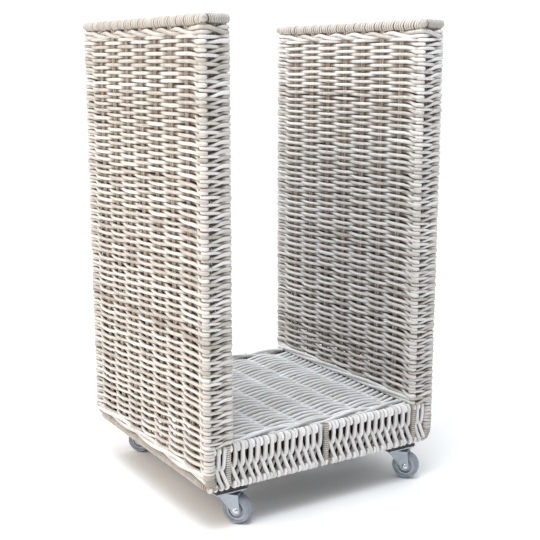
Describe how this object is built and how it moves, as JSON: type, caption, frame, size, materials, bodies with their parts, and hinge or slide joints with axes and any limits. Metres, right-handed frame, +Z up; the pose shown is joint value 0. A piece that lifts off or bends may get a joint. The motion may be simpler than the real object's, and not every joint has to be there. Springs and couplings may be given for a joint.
{
  "type": "log carrier",
  "caption": "Wheeled log carrier of whitewashed rattan: two tall hollow woven side panels, an open bay between them, a woven deck over an open apron, and swivel casters.",
  "frame": {"origin": "on the floor under the middle of the base", "axes": "+Z up, the open front faces -Y, +X to the right when looking at the front"},
  "size_m": [0.48, 0.4662, 0.84],
  "materials": {
    "weave": "whitewashed matte rattan",
    "wrapped_pole": "peel-wrapped matte",
    "post_cane": "whitewashed matte cane",
    "stake_cane": "natural matte cane",
    "board": "dark stain",
    "dark_block": "black stain",
    "zinc": "zinc plated",
    "bright_steel": "bright",
    "hub_plastic": "satin grey",
    "tyre_rubber": "matte grey"
  },
  "bodies": {
    "basket": {"left_outer_front_post": "post_cane", "left_outer_back_post": "post_cane", "left_panel_outer_weave": "weave", "left_top_outer_rail": "wrapped_pole", "left_inner_front_post": "post_cane", "left_inner_back_post": "post_cane", "left_panel_inner_weave": "weave", "left_top_inner_rail": "wrapped_pole", "left_panel_front_weave": "weave", "left_panel_back_weave": "weave", "left_panel_stakes": "stake_cane", "left_top_end_rails": "wrapped_pole", "left_bottom_rail": "wrapped_pole", "right_outer_front_post": "post_cane", "right_outer_back_post": "post_cane", "right_panel_outer_weave": "weave", "right_top_outer_rail": "wrapped_pole", "right_inner_front_post": "post_cane", "right_inner_back_post": "post_cane", "right_panel_inner_weave": "weave", "right_top_inner_rail": "wrapped_pole", "right_panel_front_weave": "weave", "right_panel_back_weave": "weave", "right_panel_stakes": "stake_cane", "right_top_end_rails": "wrapped_pole", "right_bottom_rail": "wrapped_pole", "front_bottom_rail": "wrapped_pole", "front_deck_rail": "wrapped_pole", "front_apron_weave": "weave", "front_caster_board": "board", "back_bottom_rail": "wrapped_pole", "back_deck_rail": "wrapped_pole", "back_apron_weave": "weave", "back_caster_board": "board", "apron_mid_posts": "post_cane", "deck_weave": "weave", "deck_stakes": "stake_cane", "deck_ribs": "board", "caster_blocks": "dark_block", "caster_plates": "zinc", "caster_screws": "zinc", "caster_kingpins": "zinc", "caster_balls": "bright_steel"},
    "front_left_swivel": {"front_left_fork": "zinc", "front_left_axle": "bright_steel"},
    "front_left_wheel": {"front_left_hub": "hub_plastic", "front_left_tyre": "tyre_rubber"},
    "front_right_swivel": {"front_right_fork": "zinc", "front_right_axle": "bright_steel"},
    "front_right_wheel": {"front_right_hub": "hub_plastic", "front_right_tyre": "tyre_rubber"},
    "back_left_swivel": {"back_left_fork": "zinc", "back_left_axle": "bright_steel"},
    "back_left_wheel": {"back_left_hub": "hub_plastic", "back_left_tyre": "tyre_rubber"},
    "back_right_swivel": {"back_right_fork": "zinc", "back_right_axle": "bright_steel"},
    "back_right_wheel": {"back_right_hub": "hub_plastic", "back_right_tyre": "tyre_rubber"}
  },
  "joints": [
    {"name": "front_left_swivel", "type": "hinge", "parent": "basket", "child": "front_left_swivel", "pos_m": [-0.183, -0.1925, 0.0541], "axis": [0, 0, 1], "continuous": true},
    {"name": "front_left_roll", "type": "hinge", "parent": "front_left_swivel", "child": "front_left_wheel", "pos_m": [-0.16886, -0.20935, 0.025], "axis": [0.766, 0.6428, 0], "continuous": true},
    {"name": "front_right_swivel", "type": "hinge", "parent": "basket", "child": "front_right_swivel", "pos_m": [0.183, -0.1925, 0.0541], "axis": [0, 0, 1], "continuous": true},
    {"name": "front_right_roll", "type": "hinge", "parent": "front_right_swivel", "child": "front_right_wheel", "pos_m": [0.19714, -0.20935, 0.025], "axis": [0.766, 0.6428, 0], "continuous": true},
    {"name": "back_left_swivel", "type": "hinge", "parent": "basket", "child": "back_left_swivel", "pos_m": [-0.183, 0.1925, 0.0541], "axis": [0, 0, 1], "continuous": true},
    {"name": "back_left_roll", "type": "hinge", "parent": "back_left_swivel", "child": "back_left_wheel", "pos_m": [-0.16886, 0.17565, 0.025], "axis": [0.766, 0.6428, 0], "continuous": true},
    {"name": "back_right_swivel", "type": "hinge", "parent": "basket", "child": "back_right_swivel", "pos_m": [0.183, 0.1925, 0.0541], "axis": [0, 0, 1], "continuous": true},
    {"name": "back_right_roll", "type": "hinge", "parent": "back_right_swivel", "child": "back_right_wheel", "pos_m": [0.19714, 0.17565, 0.025], "axis": [0.766, 0.6428, 0], "continuous": true}
  ]
}
